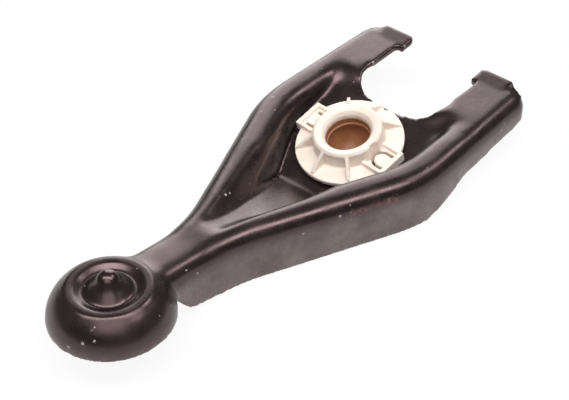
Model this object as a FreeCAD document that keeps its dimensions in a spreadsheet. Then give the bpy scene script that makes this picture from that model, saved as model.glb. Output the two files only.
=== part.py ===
import FreeCAD, Part
import Sketcher
import math
import os

# Clutch release fork, millimetres and degrees.
# Heights in the table are above the plane that the lower edges of the long skirts lie in, and
# lengths along X are from the pivot socket's axis where it meets the pad, with +X to the prongs.
# The finished pieces are then moved, so that the middle of the socket's throat is the origin.

SIZES = [
    # the plan outline, right half
    ("sheet_gauge", 2.8, "thickness of the pressed sheet"),
    ("neck_half_width", 9.9, "half width of the neck beside the push rod cup"),
    ("bend_x", -75.9, "where the neck's side meets the flank"),
    ("bend_radius", 60, "rounding between neck and flank"),
    ("knee_x", -5.7, "where the flank meets the prong's side"),
    ("knee_half_width", 40.2, "half width at that corner"),
    ("knee_radius", 55, "rounding between flank and prong"),
    ("tip_x", 58, "end of the prongs"),
    ("tip_half_width", 38, "half width at the end of the prongs"),
    ("tip_corner_radius", 7, "outer corner of each prong"),
    # the ridges and the web between them
    ("neck_drop", 1.8, "step from the cup's rim down to the neck's top"),
    ("neck_bend_x", -84, "where the neck's top begins to rise to the cup"),
    ("neck_bend_radius", 40, "rounding of that bend"),
    ("ridge_height", 20.5, "top of the ridges above the base"),
    ("prong_bend_x", -5, "where the ridges begin to rise to the prongs"),
    ("prong_height", 22.2, "top of the prongs at their end"),
    ("prong_bend_radius", 150, "rounding of that bend"),
    ("ridge_width", 12.6, "width of the rounded ridges"),
    ("shoulder_radius", 6, "rounding of the ridges, outside"),
    ("wall_draft", 12, "slope of the ridges' inner walls"),
    ("ramp_start_x", -70, "where the web leaves the neck"),
    ("pad_level", 11, "height of the pad at the origin"),
    ("pad_tilt", 14.9, "slope of the pad"),
    ("pad_back_x", -23.8, "narrow edge of the pad"),
    ("pad_front_x", 21.7, "wide edge of the pad"),
    ("riser_end_x", 27.5, "where the web reaches the prongs' level"),
    ("fold_radius", 4, "outer radius of the web's folds"),
    ("valley_corner_radius", 4, "rounding of the valley's corners"),
    # the lower edge, seen from the side
    ("cup_base_level", 11.8, "lower edge of the push rod cup"),
    ("heel_x", -92, "where the lower edge comes down from the cup"),
    ("heel_level", 2.2, "height there"),
    ("skirt_back_x", -80, "back end of the long skirts"),
    ("skirt_front_x", -4, "front end of the long skirts"),
    ("prong_skirt_x", 17, "where the prongs' short skirts begin"),
    ("prong_skirt_level", 8, "lower edge of the short skirts there"),
    ("tip_skirt_level", 11.5, "lower edge of the short skirts at the end"),
    ("trim_radius", 8, "rounding of the lower edge's corners"),
    # the gap between the prongs
    ("gap_base_x", 21.4, "bottom of the gap"),
    ("gap_half_width", 18.3, "half width of the gap at its bottom"),
    ("gap_mouth_half_width", 19, "half width of the gap at the prongs' end"),
    ("gap_corner_radius", 12, "rounding of the gap's corners"),
    # the push rod cup
    ("cup_x", -117.4, "centre of the push rod cup"),
    ("cup_radius", 21, "outer radius of the cup"),
    ("cup_height", 24.2, "rim of the cup above the base"),
    ("cup_rim_radius", 13.6, "outer radius of the flat rim"),
    ("cup_slope", 28.6, "slope of the cup's top where it leaves the rim"),
    ("cup_dome_radius", 13.6, "rounding from the cup's slope to its side"),
    ("cup_skirt_x", -100.5, "where the cup's lower edge meets the neck's"),
    ("recess_radius", 11.4, "inner radius of the flat rim"),
    ("recess_depth", 7.2, "depth of the recess below the rim"),
    ("recess_floor_radius", 10, "radius where the recess wall meets the floor"),
    ("cone_foot_radius", 9.2, "radius of the raised cone at the recess floor"),
    ("cone_top_radius", 3.7, "radius of the cone at its top"),
    ("cone_rise", 6, "top of the cone above the rim"),
    ("cone_waist_radius", 4.7, "radius of the cone where it begins to flare"),
    ("cone_waist_drop", 0.6, "depth of that place below the rim"),
    ("cone_flare_radius", 12, "rounding of the cone's flare"),
    ("cone_rounding", 3.3, "rounding of the cone's top"),
    # the tips of the prongs
    ("crease_x", 50.8, "where each tip folds up"),
    ("tip_fold", 7, "angle of the folded tips"),
    ("ear_half_width", 15.9, "inner edge of the folded tips"),
    ("lip_half_width", 30, "outer edge of the folded tips"),
    ("ear_corner_radius", 2.5, "rounding of the ears' corners"),
    ("ear_length", 0.5, "how far the ears reach back past the fold"),
    # the plastic socket ring, in heights above the pad
    ("bore_radius", 8.25, "hole of the socket ring"),
    ("lip_height", 0.7, "height of the lip round the hole"),
    ("hub_height", 9.8, "top of the hub above the pad"),
    ("throat_height", 6.5, "where the funnel meets the hole"),
    ("hub_foot_height", 3.7, "where the hub's wall meets the flange"),
    ("hub_top_radius", 12.8, "outer radius of the hub at its top"),
    ("hub_rounding", 0.9, "rounding of the hub's outer edge"),
    ("hub_foot_radius", 13.3, "outer radius of the hub at the flange"),
    ("flange_radius", 20, "radius of the flange"),
    ("flange_gap", 1.4, "air under the flange's edge"),
    ("flange_thickness", 1.7, "thickness of the flange"),
    ("shoulder_seat_radius", 15.5, "radius of the step that stands on the pad"),
    ("spigot_radius", 11.8, "radius of the spigot through the pad"),
    ("spigot_depth", 4.6, "how far the spigot reaches below the pad's face"),
    ("spigot_clearance", 0.3, "play of the spigot in the pad"),
    ("seat_radius", 10.3, "radius of the ball cup's seat in the ring"),
    ("first_rib", 132, "angle of the first stiffening rib"),
    ("rib_step", 43, "angle between that rib and the next ones"),
    ("second_rib", -37, "angle of the first rib on the ring's other half"),
    ("second_rib_step", 38.5, "angle between the ribs there"),
    ("rib_thickness", 1.3, "thickness of each rib"),
    ("rib_end_height", 0.7, "height of a rib at its outer end"),
    ("clip_angle", 86, "angle of the first snap clip"),
    ("clip_half_width", 6, "half width of a clip's frame"),
    ("clip_reach", 21.4, "outer face of a clip's bar"),
    ("clip_height", 2.1, "height of a clip's bar above the flange"),
    ("clip_bar", 1.8, "thickness of a clip's bar"),
    ("clip_leg_half_width", 2.5, "half width of the leg that snaps under the pad"),
    ("clip_leg", 1.5, "thickness of a leg"),
    ("clip_hook", 0.9, "reach of the hook under the pad"),
    ("clip_play", 0.3, "play of a leg in its slot"),
    ("tongue_half_width", 2.6, "half width of a clip's tongue"),
    ("slit_width", 1.1, "width of the slits beside a clip's tongue"),
    ("key_angle", 40, "angle of the locating nub"),
    ("notch_angle", -5, "angle of the notch in the flange"),
    ("notch_radius", 1.4, "radius of that notch"),
    # the ball cup in the ring
    ("cup_fit", 0.05, "play of the ball cup in its seat"),
    ("collar_height", 2.1, "height of the collar"),
    ("ball_entry_radius", 7.6, "edge of the ball's seat, which the ball snaps past"),
    ("ball_radius", 8, "radius of the seat for the pivot ball"),
    ("cup_wall", 1.6, "thickness of the cup below the ball"),
]

doc = FreeCAD.newDocument("clutch_fork")
sheet = doc.addObject("Spreadsheet::Sheet", "Sizes")
for row, (alias, size, note) in enumerate(SIZES, 1):
    sheet.set("A%d" % row, note)
    sheet.set("B%d" % row, str(size))
    sheet.setAlias("B%d" % row, alias)
doc.recompute()

LOWER = -12      # how far the forms reach below the base before they are trimmed
TALL = 60        # the cutting tools reach well past the pressing
BEYOND = 20      # how far the side drawings run past the prongs' end
SMOOTH = 5       # faces that meet at less than this angle have no edge to round
LEVEL = 0.9      # the upright part of a level face's normal is at least this
STEEP = 0.5      # and that of a steep face's normal is at most this
FUNNEL_TURNS = (40, 70)      # where the ring's funnel changes its slope
S = "Sizes."
NECK_TOP = "Sizes.cup_height - Sizes.neck_drop"


def value(text):
    """The number that an expression over the sheet gives now."""
    found = sheet.evalExpression(text)
    return float(getattr(found, "Value", found))


def outline(name, corners, upright=False):
    """A closed sketch through corners (x, y, radius), each an expression; radius None is sharp."""
    sketch = doc.addObject("Sketcher::SketchObject", name)
    if upright:
        stand_up = FreeCAD.Rotation(FreeCAD.Vector(1, 0, 0), 90)
        sketch.Placement = FreeCAD.Placement(FreeCAD.Vector(0, 0, 0), stand_up)
    points = [FreeCAD.Vector(value(x), value(y), 0) for x, y, radius in corners]
    count = len(points)
    arcs, leave, arrive = [], [], []
    for i, (x, y, radius) in enumerate(corners):
        corner, before, after = points[i], points[i - 1], points[(i + 1) % count]
        if radius is None:
            arcs.append(None)
            leave.append(corner)
            arrive.append(corner)
            continue
        r = value(radius)
        back, ahead = (before - corner).normalize(), (after - corner).normalize()
        half = back.getAngle(ahead) / 2
        centre = corner + (back + ahead).normalize() * (r / math.sin(half))
        arrive.append(corner + back * (r / math.tan(half)))
        leave.append(corner + ahead * (r / math.tan(half)))
        left_turn = (corner - before).cross(after - corner).z > 0
        first, last = (arrive[i], leave[i]) if left_turn else (leave[i], arrive[i])
        begin = math.atan2(first.y - centre.y, first.x - centre.x)
        end = math.atan2(last.y - centre.y, last.x - centre.x)
        circle = Part.Circle(centre, FreeCAD.Vector(0, 0, 1), r)
        arcs.append((Part.ArcOfCircle(circle, begin, end if end > begin else end + 2 * math.pi), left_turn))
    lines = [sketch.addGeometry(Part.LineSegment(leave[i - 1], arrive[i]), False) for i in range(count)]
    rules, bound = [], []
    for i, (x, y, radius) in enumerate(corners):
        before, after = lines[i], lines[(i + 1) % count]
        if radius is None:
            mark = after
            rules.append(Sketcher.Constraint("Coincident", before, 2, after, 1))
        else:
            shape, left_turn = arcs[i]
            arc = sketch.addGeometry(shape, False)
            mark = sketch.addGeometry(Part.Point(points[i]), True)
            entry, out = (1, 2) if left_turn else (2, 1)
            rules += [
                Sketcher.Constraint("Tangent", before, 2, arc, entry),
                Sketcher.Constraint("Tangent", after, 1, arc, out),
                Sketcher.Constraint("PointOnObject", mark, 1, before),
                Sketcher.Constraint("PointOnObject", mark, 1, after),
                Sketcher.Constraint("Radius", arc, value(radius)),
            ]
            bound.append((len(rules) - 1, radius))
        rules.append(Sketcher.Constraint("DistanceX", -1, 1, mark, 1, points[i].x))
        bound.append((len(rules) - 1, x))
        rules.append(Sketcher.Constraint("DistanceY", -1, 1, mark, 1, points[i].y))
        bound.append((len(rules) - 1, y))
    sketch.addConstraint(rules)
    for index, text in bound:
        sketch.setExpression("Constraints[%d]" % index, text)
    return sketch


def mirrored(half):
    """The corners of one side of the X axis, and the same on the other side."""
    return half + [(x, "-(%s)" % y, radius) for x, y, radius in reversed(half)]


def inset(source, name, distance):
    """The same outline, moved inwards by an expression."""
    ring = doc.addObject("Part::Offset2D", name)
    ring.Source = source
    ring.Join = "Intersection"
    ring.setExpression("Value", "-(%s)" % distance)
    return ring


def extrusion(source, name, base, top):
    """A prism from height base to height top, both expressions."""
    prism = doc.addObject("Part::Extrusion", name)
    prism.Base = source
    prism.DirMode = "Custom"
    prism.Dir = FreeCAD.Vector(0, 0, 1)
    prism.Solid = True
    prism.setExpression("LengthFwd", top)
    prism.setExpression("LengthRev", "-(%s)" % base)
    return prism


def across(source, name, half_width):
    """A side view drawing, drawn out to both sides."""
    prism = doc.addObject("Part::Extrusion", name)
    prism.Base = source
    prism.DirMode = "Custom"
    prism.Dir = FreeCAD.Vector(0, 1, 0)
    prism.Solid = True
    prism.setExpression("LengthFwd", half_width)
    prism.setExpression("LengthRev", half_width)
    return prism


def combine(kind, name, base, tool):
    result = doc.addObject("Part::" + kind, name)
    result.Base = base
    result.Tool = tool
    return result


def edge_normals(shape):
    """Each edge's number, its middle and the normals of the two faces beside it."""
    beside = {}
    for face in shape.Faces:
        for edge in face.Edges:
            beside.setdefault(edge.hashCode(), []).append(face)
    for index, edge in enumerate(shape.Edges, 1):
        point = edge.valueAt((edge.FirstParameter + edge.LastParameter) / 2)
        faces = beside.get(edge.hashCode(), [])
        normals = [face.normalAt(*face.Surface.parameter(point)) for face in faces]
        if len(normals) == 2 and normals[0].getAngle(normals[1]) > math.radians(SMOOTH):
            yield index, edge, point, normals


def top_edges(shape):
    """The edges of the level upper face, without the neck's end inside the cup."""
    back = value("Sizes.cup_x + Sizes.recess_floor_radius / 2")
    pad = value(S + "pad_level")
    found = []
    for index, edge, point, normals in edge_normals(shape):
        flat = [abs(normal.z) for normal in normals]
        meets_wall = max(flat) > LEVEL and min(flat) < STEEP
        if point.z > pad and meets_wall and edge.BoundBox.XMax > back:
            found.append(index)
    return found


def corner_edges(shape):
    """The edges that run from the bottom to the top."""
    return [index for index, edge, point, normals in edge_normals(shape)
            if edge.BoundBox.ZLength > shape.BoundBox.ZLength * LEVEL]


def rounding(source, name, radius, pick, flat=False):
    """A fillet on the edges that a function picks, or the flat that touches the fillet's middle."""
    doc.recompute()
    softened = doc.addObject("Part::Chamfer" if flat else "Part::Fillet", name)
    softened.Base = source
    size = value(radius) * (2 - math.sqrt(2)) if flat else value(radius)
    softened.Edges = [(index, size, size) for index in pick(source.Shape)]
    return softened


def upright_cylinder(name, radius, height, base):
    """A cylinder about the cup's axis, standing at a height."""
    body = doc.addObject("Part::Cylinder", name)
    body.setExpression("Radius", radius)
    body.setExpression("Height", height)
    body.setExpression(".Placement.Base.x", S + "cup_x")
    body.setExpression(".Placement.Base.z", base)
    return body


def turned(name, corners, axis_x="0"):
    """A solid of revolution about an upright axis."""
    body = doc.addObject("Part::Revolution", name)
    body.Source = outline(name + "_outline", corners, upright=True)
    body.Axis = FreeCAD.Vector(0, 0, 1)
    body.Angle = 360
    body.Solid = True
    body.setExpression(".Placement.Base.x", axis_x)
    return body


def cup_form(name, depth):
    """The push rod cup's domed form, in from its upper face by a depth."""
    slope = "(Sizes.cup_slope * 1deg)"
    rim = "(Sizes.cup_rim_radius - %s * tan(%s / 2))" % (depth, slope)
    side = "(Sizes.cup_radius - %s)" % depth
    top = "(Sizes.cup_height - %s)" % depth
    room = "(%s - %s) / cos%s / tan((90deg - %s) / 2)" % (side, rim, slope, slope)
    radius = "min(Sizes.cup_dome_radius - %s; %s * 0.97)" % (depth, room)
    centre_r = "(%s - %s)" % (side, radius)
    centre_z = "(%s - (%s - %s) * tan%s - %s / cos%s)" % (top, centre_r, rim, slope, radius, slope)
    corner = [(side, "%s - (%s - %s) * tan%s" % (top, side, rim, slope), radius)]
    if depth != "0":
        # the hidden lower face is turned from straight lines that touch the same arc
        bow = "((90deg - %s) / 4)" % slope
        corner = [("%s + %s / cos%s * sin(%s + %s * %s)" % (centre_r, radius, bow, slope, bow, turns),
                   "%s + %s / cos%s * cos(%s + %s * %s)" % (centre_z, radius, bow, slope, bow, turns), None)
                  for turns in ("3", "1")]
    return turned(name, [("0", str(LOWER), None), (side, str(LOWER), None)] + corner
                  + [(rim, top, None), ("0", top, None)], S + "cup_x")


def pressing_form(name, depth):
    """The solid below the pressing's upper face (depth 0), or below its lower face (one gauge)."""
    upper_face = depth == "0"
    edge = plan if upper_face else inset(plan, name + "_edge", depth)
    ridge_profile = ridge_side if upper_face else inset(ridge_side, name + "_ridge_side", depth)
    block = combine("Common", name + "_block", extrusion(edge, name + "_prism", str(LOWER), str(TALL)),
                    across(ridge_profile, name + "_ridge_block", str(TALL)))
    # the valley between the ridges, with sloping walls
    slope = "(Sizes.wall_draft * 1deg)"
    wall = "Sizes.ridge_width + %s * tan%s - %s / cos%s" % (depth, slope, depth, slope)
    valley = doc.addObject("Part::Extrusion", name + "_valley")
    valley.Base = inset(plan, name + "_valley_edge", wall)
    valley.DirMode = "Custom"
    valley.Dir = FreeCAD.Vector(0, 0, -1)
    valley.Solid = True
    valley.setExpression("LengthFwd", "Sizes.prong_height - %s + 1 - (%d)" % (depth, LOWER))
    valley.setExpression("TaperAngle", "-Sizes.wall_draft")
    valley.setExpression(".Placement.Base.z", "Sizes.prong_height - %s + 1" % depth)
    corner = "Sizes.valley_corner_radius + %s" % depth
    soft_valley = rounding(valley, name + "_soft_valley", corner, corner_edges)
    ridges = combine("Cut", name + "_ridges", block, soft_valley)
    ridges = rounding(ridges, name + "_rounded_ridges", "Sizes.shoulder_radius - %s" % depth, top_edges,
                      flat=not upper_face)
    # the web: neck, ramp, tilted pad, riser and the prongs' upper faces
    profile = web_side if upper_face else inset(web_side, name + "_web_side", depth)
    web_block = across(profile, name + "_web_block", S + "knee_half_width")
    web = combine("Common", name + "_web", web_block, middle)
    form = combine("Fuse", name + "_fork", ridges, web)
    return combine("Fuse", name + "_form", form, cup_form(name + "_cup", depth))


side = [
    (S + "cup_x", S + "neck_half_width", None),
    (S + "bend_x", S + "neck_half_width", S + "bend_radius"),
    (S + "knee_x", S + "knee_half_width", S + "knee_radius"),
    (S + "tip_x", S + "tip_half_width", S + "tip_corner_radius"),
]
plan = outline("plan", mirrored(side))
middle_outline = inset(plan, "middle_outline", S + "ridge_width / 2")
middle = extrusion(middle_outline, "middle", str(LOWER), str(TALL))
rise = "(Sizes.prong_height - Sizes.ridge_height) / (Sizes.tip_x - Sizes.prong_bend_x)"
beyond = S + "tip_x + %d" % BEYOND
beyond_height = "Sizes.prong_height + %d * %s" % (BEYOND, rise)
ridge_side = outline("ridge_side", [
    (S + "cup_x - Sizes.recess_floor_radius / 2", str(LOWER), None),
    (beyond, str(LOWER), None),
    (beyond, beyond_height, None),
    (S + "prong_bend_x", S + "ridge_height", S + "prong_bend_radius"),
    (S + "neck_bend_x", S + "ridge_height", S + "neck_bend_radius"),
    (S + "cup_x + Sizes.cup_rim_radius", NECK_TOP, None),
    (S + "cup_x - Sizes.recess_floor_radius / 2", NECK_TOP, None),
], upright=True)
pad_slope = "tan(Sizes.pad_tilt * 1deg)"
riser_top = "Sizes.ridge_height + (Sizes.riser_end_x - Sizes.prong_bend_x) * " + rise
web_side = outline("web_side", [
    (S + "cup_x", str(LOWER), None),
    (beyond, str(LOWER), None),
    (beyond, beyond_height, None),
    (S + "riser_end_x", riser_top, S + "fold_radius"),
    (S + "pad_front_x", "Sizes.pad_level + Sizes.pad_front_x * " + pad_slope, S + "fold_radius / 2"),
    (S + "pad_back_x", "Sizes.pad_level + Sizes.pad_back_x * " + pad_slope, S + "fold_radius"),
    (S + "ramp_start_x", S + "ridge_height", "Sizes.fold_radius * 5"),
    (S + "neck_bend_x", S + "ridge_height", S + "neck_bend_radius"),
    (S + "cup_x + Sizes.cup_rim_radius", NECK_TOP, None),
    (S + "cup_x", NECK_TOP, None),
], upright=True)

# the recess round the raised cone: all the air above the cup, down to the sheet's upper face
recess = turned("recess", [
    ("0", "Sizes.cup_height + Sizes.cone_rise", None),
    ("0", "Sizes.cup_height + %d" % TALL, None),
    (S + "recess_radius", "Sizes.cup_height + %d" % TALL, None),
    (S + "recess_radius", S + "cup_height", None),
    (S + "recess_floor_radius", "Sizes.cup_height - Sizes.recess_depth", None),
    (S + "cone_foot_radius", "Sizes.cup_height - Sizes.recess_depth", None),
    (S + "cone_waist_radius", "Sizes.cup_height - Sizes.cone_waist_drop", S + "cone_flare_radius"),
    (S + "cone_top_radius", "Sizes.cup_height + Sizes.cone_rise", S + "cone_rounding"),
], S + "cup_x")
# and down to its lower face, which leaves the push rod's pocket under the cone
lower_floor = "Sizes.cup_height - Sizes.recess_depth - Sizes.sheet_gauge"
lower_waist = "Sizes.cup_height - Sizes.cone_waist_drop - Sizes.sheet_gauge"
lower_top = "Sizes.cup_height + Sizes.cone_rise - Sizes.sheet_gauge"
under_recess = turned("under_recess", [
    ("0", lower_top, None),
    ("0", "Sizes.cup_height + %d" % TALL, None),
    (S + "recess_radius + Sizes.sheet_gauge", "Sizes.cup_height + %d" % TALL, None),
    (S + "recess_radius + Sizes.sheet_gauge", S + "cup_height", None),
    (S + "recess_floor_radius + Sizes.sheet_gauge", lower_floor, None),
    (S + "cone_foot_radius - Sizes.sheet_gauge", lower_floor, None),
    (S + "cone_waist_radius - Sizes.sheet_gauge", lower_waist, None),
    (S + "cone_top_radius - Sizes.sheet_gauge", lower_top, None),
], S + "cup_x")


def with_thimble(form, name, hollow):
    """A form with the thimble raised in the middle of its cup."""
    height = "Sizes.cup_height + Sizes.cone_rise - (%d)" % LOWER
    core = upright_cylinder(name + "_core", S + "recess_radius", height, str(LOWER))
    return combine("Cut", name + "_with_thimble", combine("Fuse", name + "_cored", form, core), hollow)


upper = with_thimble(pressing_form("upper", "0"), "upper", recess)
lower = with_thimble(pressing_form("lower", S + "sheet_gauge"), "lower", under_recess)
sheet_metal = combine("Cut", "sheet_metal", upper, lower)

# trimming: the lower edge, the gap between the prongs and the ends of the prongs
under_side = outline("under_side", [
    (S + "cup_x - %d" % TALL, "-%d" % TALL, None),
    (S + "tip_x + %d" % TALL, "-%d" % TALL, None),
    (S + "tip_x + %d" % TALL, S + "tip_skirt_level", None),
    (S + "tip_x", S + "tip_skirt_level", None),
    (S + "prong_skirt_x", S + "prong_skirt_level", S + "trim_radius"),
    (S + "skirt_front_x", "0", S + "trim_radius"),
    (S + "skirt_back_x", "0", S + "trim_radius"),
    (S + "heel_x", S + "heel_level", S + "trim_radius"),
    (S + "cup_skirt_x", S + "cup_base_level", None),
    (S + "cup_x - %d" % TALL, S + "cup_base_level", None),
], upright=True)
under = across(under_side, "under", str(TALL))
gap_outline = outline("gap_outline", [
    (S + "gap_base_x", "-Sizes.gap_half_width", S + "gap_corner_radius"),
    (S + "tip_x", "-Sizes.gap_mouth_half_width", None),
    (S + "tip_x + %d" % TALL, "-Sizes.gap_mouth_half_width", None),
    (S + "tip_x + %d" % TALL, S + "gap_mouth_half_width", None),
    (S + "tip_x", S + "gap_mouth_half_width", None),
    (S + "gap_base_x", S + "gap_half_width", S + "gap_corner_radius"),
])
gap = extrusion(gap_outline, "gap", "-%d" % TALL, str(TALL))
end_outline = outline("end_outline", mirrored([
    (S + "crease_x", S + "lip_half_width", None),
    (S + "tip_x + %d" % TALL, S + "lip_half_width", None),
]))
ends = extrusion(end_outline, "ends", "-%d" % TALL, str(TALL))

trimmed = sheet_metal
for tool in (under, gap, ends):
    trimmed = combine("Cut", "without_" + tool.Name, trimmed, tool)

# the folded tips, with the ears on their inner edge
fold = "(Sizes.tip_fold * 1deg)"
crease_height = "(Sizes.prong_height - (Sizes.tip_x - Sizes.crease_x) * %s)" % rise
lip_top = "(%s + (Sizes.tip_x - Sizes.crease_x) * tan%s)" % (crease_height, fold)
ear_x = S + "crease_x - Sizes.ear_length"
lip_side = outline("lip_side", [
    (ear_x, crease_height, None),
    (ear_x, crease_height + " - Sizes.sheet_gauge", None),
    (S + "crease_x", crease_height + " - Sizes.sheet_gauge", S + "sheet_gauge * 3"),
    (S + "tip_x", "%s - Sizes.sheet_gauge / cos%s" % (lip_top, fold), None),
    (S + "tip_x", lip_top, None),
    (S + "crease_x", crease_height, S + "sheet_gauge * 2"),
], upright=True)
lip_strip = across(lip_side, "lip_strip", S + "lip_half_width")
lip_plan = outline("lip_plan", [
    (ear_x, S + "ear_half_width", None),
    (S + "tip_x", S + "ear_half_width", S + "ear_corner_radius"),
    (S + "tip_x", S + "lip_half_width", None),
    (ear_x, S + "lip_half_width", None),
])
lip_column = extrusion(lip_plan, "lip_column", "-%d" % TALL, str(TALL))
other_column = doc.addObject("Part::Mirroring", "other_lip_column")
other_column.Source = lip_column
other_column.Normal = FreeCAD.Vector(0, 1, 0)
lips = combine("Common", "lips", lip_strip, combine("Fuse", "lip_columns", lip_column, other_column))
fork = combine("Fuse", "fork_body", trimmed, lips)


# every finished piece is moved so that the middle of the socket's throat is the origin
SHIFT_X = "Sizes.throat_height * sin(Sizes.pad_tilt * 1deg)"
SHIFT_Z = "-Sizes.pad_level - Sizes.throat_height * cos(Sizes.pad_tilt * 1deg)"


def on_pad(item, shift_x="0", shift_z="0"):
    """Stands an object made about the origin on the tilted pad."""
    item.setExpression(".Placement.Base.x", shift_x)
    item.setExpression(".Placement.Base.z", "Sizes.pad_level + (%s)" % shift_z)
    tilt = "create(<<rotation>>; create(<<vector>>; 0; 1; 0); -Sizes.pad_tilt)"
    item.setExpression("Placement.Rotation", tilt)
    return item


def drum(name, radius, bottom, top):
    """A cylinder on the local Z axis."""
    body = doc.addObject("Part::Cylinder", name)
    body.setExpression("Radius", radius)
    body.setExpression("Height", "(%s) - (%s)" % (top, bottom))
    body.setExpression(".Placement.Base.z", bottom)
    return body


def brick(name, x, y, z, turn="0"):
    """A box between two values along each local axis, turned about the local Z axis."""
    body = doc.addObject("Part::Box", name)
    for axis, size, (low, high) in zip("xyz", ("Length", "Width", "Height"), (x, y, z)):
        body.setExpression(size, "(%s) - (%s)" % (high, low))
    low_x, low_y, low_z = "(%s)" % x[0], "(%s)" % y[0], z[0]
    cosine, sine = "cos((%s) * 1deg)" % turn, "sin((%s) * 1deg)" % turn
    rotation = "create(<<rotation>>; create(<<vector>>; 0; 0; 1); %s)" % turn
    body.setExpression("Placement.Rotation", rotation)
    body.setExpression(".Placement.Base.x", "%s * %s - %s * %s" % (low_x, cosine, low_y, sine))
    body.setExpression(".Placement.Base.y", "%s * %s + %s * %s" % (low_x, sine, low_y, cosine))
    body.setExpression(".Placement.Base.z", low_z)
    return body


def fuse_all(name, pieces):
    result = doc.addObject("Part::MultiFuse", name)
    result.Shapes = pieces
    return result


# holes in the pad: the spigot's, and a slot for each clip's leg
clip_turns = (S + "clip_angle", "Sizes.clip_angle + 180")
leg_outer = S + "clip_reach - Sizes.clip_hook"
leg_inner = leg_outer + " - Sizes.clip_leg"
slot_edge = "(Sizes.clip_leg_half_width + Sizes.clip_play)"
through = ("-Sizes.sheet_gauge * 2", S + "sheet_gauge")
holes = [drum("pad_hole", S + "spigot_radius + Sizes.spigot_clearance", *through)]
for number, turn in enumerate(clip_turns, 1):
    slot_x = (leg_inner + " - Sizes.clip_play", leg_outer + " + Sizes.clip_play")
    holes.append(brick("slot_%d" % number, slot_x, ("-" + slot_edge, slot_edge), through, turn))
pad_holes = on_pad(fuse_all("pad_holes", holes))
fork = combine("Cut", "fork", fork, pad_holes)
fork.setExpression(".Placement.Base.x", SHIFT_X)
fork.setExpression(".Placement.Base.z", SHIFT_Z)
fork.Label = "fork_pressing"

# the socket ring
flange_top = "(Sizes.flange_gap + Sizes.flange_thickness)"
seat_top = "(Sizes.throat_height - Sizes.lip_height)"
funnel = "(Sizes.hub_height - Sizes.throat_height)"
# the funnel is a quarter round, turned from three straight lines
funnel_corners = [(S + "bore_radius + %s * (1 - sin(%ddeg))" % (funnel, turn),
                   "Sizes.throat_height + %s * cos(%ddeg)" % (funnel, turn), None)
                  for turn in FUNNEL_TURNS]
ring_turned = turned("ring_turned", [
    (S + "bore_radius", seat_top, None),
    (S + "seat_radius", seat_top, None),
    (S + "seat_radius", "-Sizes.spigot_depth", None),
    (S + "spigot_radius", "-Sizes.spigot_depth", None),
    (S + "spigot_radius", "0", None),
    (S + "shoulder_seat_radius", "0", None),
    (S + "shoulder_seat_radius", S + "flange_gap", None),
    (S + "flange_radius", S + "flange_gap", None),
    (S + "flange_radius", flange_top, None),
    (S + "hub_foot_radius", S + "hub_foot_height", None),
    (S + "hub_top_radius", S + "hub_height - Sizes.hub_rounding", None),
    (S + "hub_top_radius - Sizes.hub_rounding", S + "hub_height", None),
    (S + "bore_radius + %s" % funnel, S + "hub_height", None),
    *funnel_corners,
    (S + "bore_radius", S + "throat_height", None),
])
rib_end = "(Sizes.flange_radius - Sizes.rib_end_height)"
rib_side = outline("rib_side", [
    (S + "seat_radius + Sizes.rib_thickness", S + "flange_gap + Sizes.flange_thickness / 2", None),
    (rib_end, S + "flange_gap + Sizes.flange_thickness / 2", None),
    (rib_end, flange_top + " + Sizes.rib_end_height", None),
    (S + "hub_top_radius", S + "hub_height - Sizes.hub_rounding", None),
    (S + "seat_radius + Sizes.rib_thickness", S + "hub_height - Sizes.hub_rounding", None),
], upright=True)


def radial(name, side, half_width, turn):
    """A side drawing made solid and turned about the local Z axis."""
    body = across(side, name, half_width)
    body.setExpression("Placement.Rotation", "create(<<rotation>>; create(<<vector>>; 0; 0; 1); %s)" % turn)
    return body


rib_turns = ["Sizes.first_rib + %d * Sizes.rib_step" % number for number in range(3)]
rib_turns += ["Sizes.second_rib + %d * Sizes.second_rib_step" % number for number in range(3)]
ring_parts = [ring_turned]
ring_parts += [radial("rib_%d" % number, rib_side, S + "rib_thickness / 2", turn)
               for number, turn in enumerate(rib_turns, 1)]


def polar(radius, height, turn):
    """Where a point at a radius stands when it is turned about the local Z axis."""
    return "(%s) * cos((%s) * 1deg)" % (radius, turn), "(%s) * sin((%s) * 1deg)" % (radius, turn), height


def post(name, radius, place, bottom, top):
    """A cylinder standing at a place."""
    body = drum(name, radius, bottom, top)
    body.setExpression(".Placement.Base.x", place[0])
    body.setExpression(".Placement.Base.y", place[1])
    return body


def clip(number, turn):
    """A snap clip's solids: plate, raised bar and cheeks, and the hooked leg."""
    frame_y = ("-Sizes.clip_half_width", S + "clip_half_width")
    leg_y = ("-Sizes.clip_leg_half_width", S + "clip_leg_half_width")
    bar_x = (S + "clip_reach - Sizes.clip_bar", S + "clip_reach")
    plate_top = flange_top + " + Sizes.rib_end_height"
    bar_top = flange_top + " + Sizes.clip_height"
    hook_top = "-Sizes.sheet_gauge - Sizes.clip_play"
    hook_bottom = hook_top + " - Sizes.clip_leg"
    solids = [
        brick("clip_plate_%d" % number, (S + "hub_foot_radius", S + "clip_reach"), frame_y,
              (S + "flange_gap", plate_top), turn),
        brick("clip_bar_%d" % number, bar_x, frame_y, (S + "flange_gap", bar_top), turn),
        brick("clip_leg_%d" % number, (leg_inner, leg_outer), leg_y,
              (hook_bottom, S + "flange_gap + Sizes.flange_thickness / 2"), turn),
        brick("clip_hook_%d" % number, (leg_inner, S + "clip_reach + Sizes.clip_play"), leg_y,
              (hook_bottom, hook_top), turn),
    ]
    cheek_x = (S + "hub_top_radius - Sizes.hub_rounding", S + "clip_reach")
    cheek_inner = "(Sizes.clip_half_width - Sizes.rib_thickness)"
    for side, cheek_y in (("left", (frame_y[0], "-" + cheek_inner)), ("right", (cheek_inner, frame_y[1]))):
        solids.append(brick("clip_cheek_%s_%d" % (side, number), cheek_x, cheek_y,
                            (S + "flange_gap", bar_top), turn))
    return solids


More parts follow.
